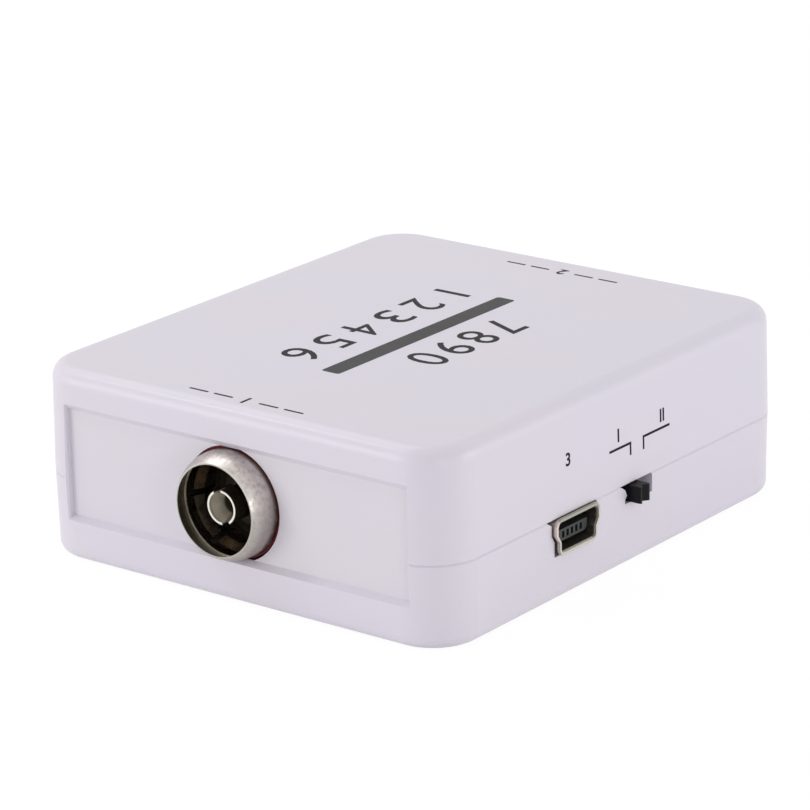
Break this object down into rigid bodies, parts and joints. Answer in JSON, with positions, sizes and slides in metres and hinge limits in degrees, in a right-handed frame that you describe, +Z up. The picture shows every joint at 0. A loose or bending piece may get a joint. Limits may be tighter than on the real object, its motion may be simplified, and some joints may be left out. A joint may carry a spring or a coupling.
{
  "type": "rf modulator",
  "caption": "Small white desk-top box that puts audio and video on an antenna channel: antenna socket at one end, phono sockets at the other, power socket and slide switch at the side.",
  "frame": {"origin": "centre of the case's flat underside", "axes": "+Z up out of the case's roof, -Y towards the antenna socket, +Y towards the audio and video sockets, +X towards the power socket and the channel switch"},
  "size_m": [0.0581, 0.0744, 0.022],
  "materials": {
    "case_plastic": "glossy white, faint lilac tint",
    "panel_plastic": "glossy white",
    "screw_steel": "dark zinc",
    "board_laminate": "green solder resist",
    "jack_nickel": "dull nickel plating",
    "sleeve_nickel": "nickel-plated spring metal",
    "red_washer": "dark red",
    "brown_insulator": "dark brown",
    "contact_nickel": "bright nickel",
    "socket_tin": "bright tin",
    "black_plastic": "black moulding",
    "gold_contact": "thin gold over brass",
    "switch_steel": "tinned steel",
    "phenolic": "brown laminate",
    "knob_plastic": "black, slightly glossy",
    "shell_nickel": "bright nickel plating",
    "yellow_insert": "yellow",
    "white_insert": "white",
    "red_insert": "red",
    "can_tin": "tinned sheet",
    "coil_former": "pale pink",
    "ferrite": "dark grey ferrite",
    "chip_epoxy": "black epoxy",
    "lead_tin": "tinned leads",
    "crystal_can": "bright can",
    "capacitor_can": "bare aluminium",
    "copper_wire": "enamelled copper",
    "capacitor_ceramic": "tan ceramic"
  },
  "bodies": {
    "case": {"top_shell": "case_plastic", "bottom_shell": "case_plastic", "front_panel": "panel_plastic", "rear_panel": "panel_plastic", "case_screws": "screw_steel", "circuit_board": "board_laminate", "jack_barrel": "jack_nickel", "jack_bracket": "jack_nickel", "jack_sleeve": "sleeve_nickel", "jack_bushing": "red_washer", "jack_insulator": "brown_insulator", "jack_contact": "contact_nickel", "usb_shell": "socket_tin", "usb_tongue": "black_plastic", "av_housing": "black_plastic", "usb_contacts": "gold_contact", "av_contacts": "gold_contact", "switch_frame": "switch_steel", "switch_terminals": "switch_steel", "switch_base": "phenolic", "video_shell": "shell_nickel", "audio_left_shell": "shell_nickel", "audio_right_shell": "shell_nickel", "av_ground_lugs": "shell_nickel", "video_insert": "yellow_insert", "audio_left_insert": "white_insert", "audio_right_insert": "red_insert", "shield_frame": "can_tin", "shield_lid": "can_tin", "tuning_coil": "coil_former", "coil_core": "ferrite", "choke_core": "ferrite", "modulator_chip": "chip_epoxy", "regulator": "chip_epoxy", "chip_resistors": "chip_epoxy", "chip_legs": "lead_tin", "crystal_leads": "lead_tin", "regulator_legs": "lead_tin", "crystal": "crystal_can", "electrolytics": "capacitor_can", "choke_winding": "copper_wire", "chip_capacitors": "capacitor_ceramic"},
    "slider": {"switch_slider": "knob_plastic", "switch_bridge": "gold_contact"}
  },
  "joints": [
    {"name": "slider_slide", "type": "slide", "parent": "case", "child": "slider", "axis": [0, 1, 0], "range_m": [0, 0.0019]}
  ]
}
